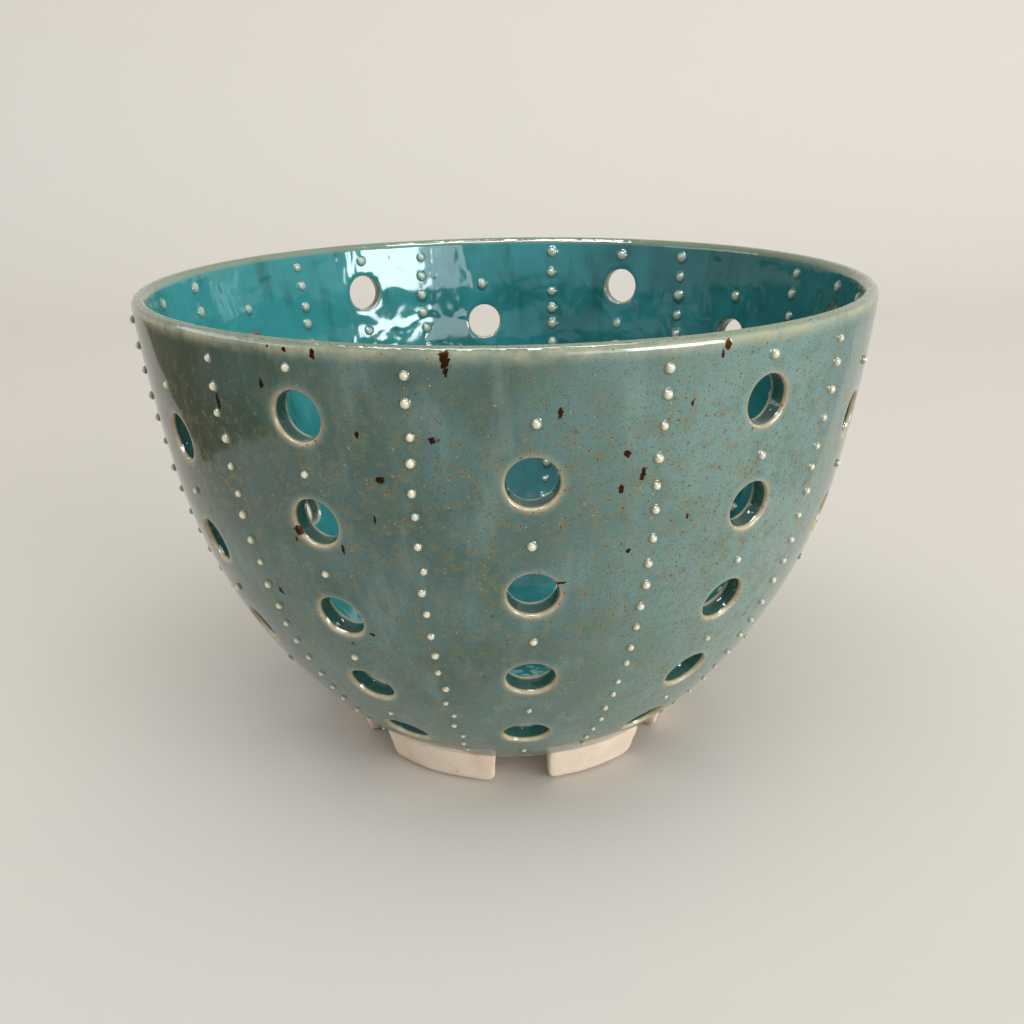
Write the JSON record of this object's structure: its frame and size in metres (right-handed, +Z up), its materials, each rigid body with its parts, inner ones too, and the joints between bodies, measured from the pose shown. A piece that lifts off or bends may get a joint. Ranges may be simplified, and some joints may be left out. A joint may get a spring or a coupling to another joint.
{
  "type": "berry colander bowl",
  "caption": "Round stoneware berry bowl with columns of drain holes through its wall, raised slip beads inside and out, a rounded lip and a notched foot ring.",
  "frame": {"origin": "on the table, at the middle of the foot ring, below the middle of the rim", "axes": "+Z up along the bowl's own axis, -Y towards the front of the picture, +X to its right"},
  "size_m": [0.1617, 0.16, 0.108],
  "materials": {
    "glazed_wall": "gloss blue-green glaze with fine iron speckle",
    "glazed_beads": "gloss glaze that breaks to cream on raised slip",
    "bare_clay": "unglazed buff stoneware"
  },
  "bodies": {
    "root": {"bowl_wall": "glazed_wall", "foot_1": "bare_clay", "foot_2": "bare_clay", "foot_3": "bare_clay", "foot_4": "bare_clay", "foot_5": "bare_clay", "foot_6": "bare_clay", "outer_bead_line_1": "glazed_beads", "outer_bead_line_2": "glazed_beads", "outer_bead_line_3": "glazed_beads", "outer_bead_line_4": "glazed_beads", "outer_bead_line_5": "glazed_beads", "outer_bead_line_6": "glazed_beads", "outer_bead_line_7": "glazed_beads", "outer_bead_line_8": "glazed_beads", "outer_bead_line_9": "glazed_beads", "outer_bead_line_10": "glazed_beads", "outer_bead_line_11": "glazed_beads", "outer_bead_line_12": "glazed_beads", "inner_bead_line_1": "glazed_beads", "inner_bead_line_2": "glazed_beads", "inner_bead_line_3": "glazed_beads", "inner_bead_line_4": "glazed_beads", "inner_bead_line_5": "glazed_beads", "inner_bead_line_6": "glazed_beads", "inner_bead_line_7": "glazed_beads", "inner_bead_line_8": "glazed_beads", "inner_bead_line_9": "glazed_beads", "inner_bead_line_10": "glazed_beads", "inner_bead_line_11": "glazed_beads", "inner_bead_line_12": "glazed_beads", "outer_hole_beads_1": "glazed_beads", "outer_hole_beads_2": "glazed_beads", "outer_hole_beads_3": "glazed_beads", "outer_hole_beads_4": "glazed_beads", "outer_hole_beads_5": "glazed_beads", "outer_hole_beads_6": "glazed_beads", "outer_hole_beads_7": "glazed_beads", "outer_hole_beads_8": "glazed_beads", "outer_hole_beads_9": "glazed_beads", "outer_hole_beads_10": "glazed_beads", "outer_hole_beads_11": "glazed_beads", "outer_hole_beads_12": "glazed_beads", "inner_hole_beads_1": "glazed_beads", "inner_hole_beads_2": "glazed_beads", "inner_hole_beads_3": "glazed_beads", "inner_hole_beads_4": "glazed_beads", "inner_hole_beads_5": "glazed_beads", "inner_hole_beads_6": "glazed_beads", "inner_hole_beads_7": "glazed_beads", "inner_hole_beads_8": "glazed_beads", "inner_hole_beads_9": "glazed_beads", "inner_hole_beads_10": "glazed_beads", "inner_hole_beads_11": "glazed_beads", "inner_hole_beads_12": "glazed_beads"}
  },
  "joints": []
}
